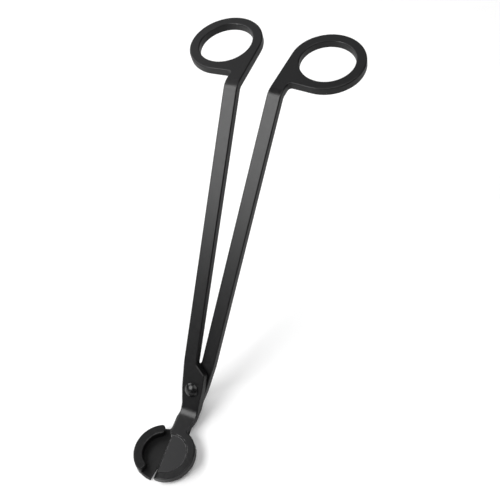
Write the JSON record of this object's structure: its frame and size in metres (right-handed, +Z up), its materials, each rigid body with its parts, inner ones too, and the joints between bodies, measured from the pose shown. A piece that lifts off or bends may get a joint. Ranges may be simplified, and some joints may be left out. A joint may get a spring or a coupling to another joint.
{
  "type": "wick trimmer",
  "caption": "Long bent steel wick trimmer: finger-ring handles on thin shanks, riveted together, closing a half-round blade over a rimmed debris tray.",
  "frame": {"origin": "centre of the tray's flat underside", "axes": "+Z up off the tray's underside, +Y from the tray toward the finger rings, +X toward the tray lever's ring"},
  "size_m": [0.0689, 0.1472, 0.107],
  "materials": {
    "black_coat": "satin black electro-coat on steel",
    "black_rivet": "semi-gloss black coat on steel"
  },
  "bodies": {
    "tray_side": {"tray_lever": "black_coat", "pivot_rivet": "black_rivet"},
    "blade_side": {"blade_lever": "black_coat"}
  },
  "joints": [
    {"name": "pivot", "type": "hinge", "parent": "tray_side", "child": "blade_side", "pos_m": [0, 0.02655, 0.01024], "axis": [0, -0.7694, 0.6388], "range_deg": [-5, 25]}
  ]
}
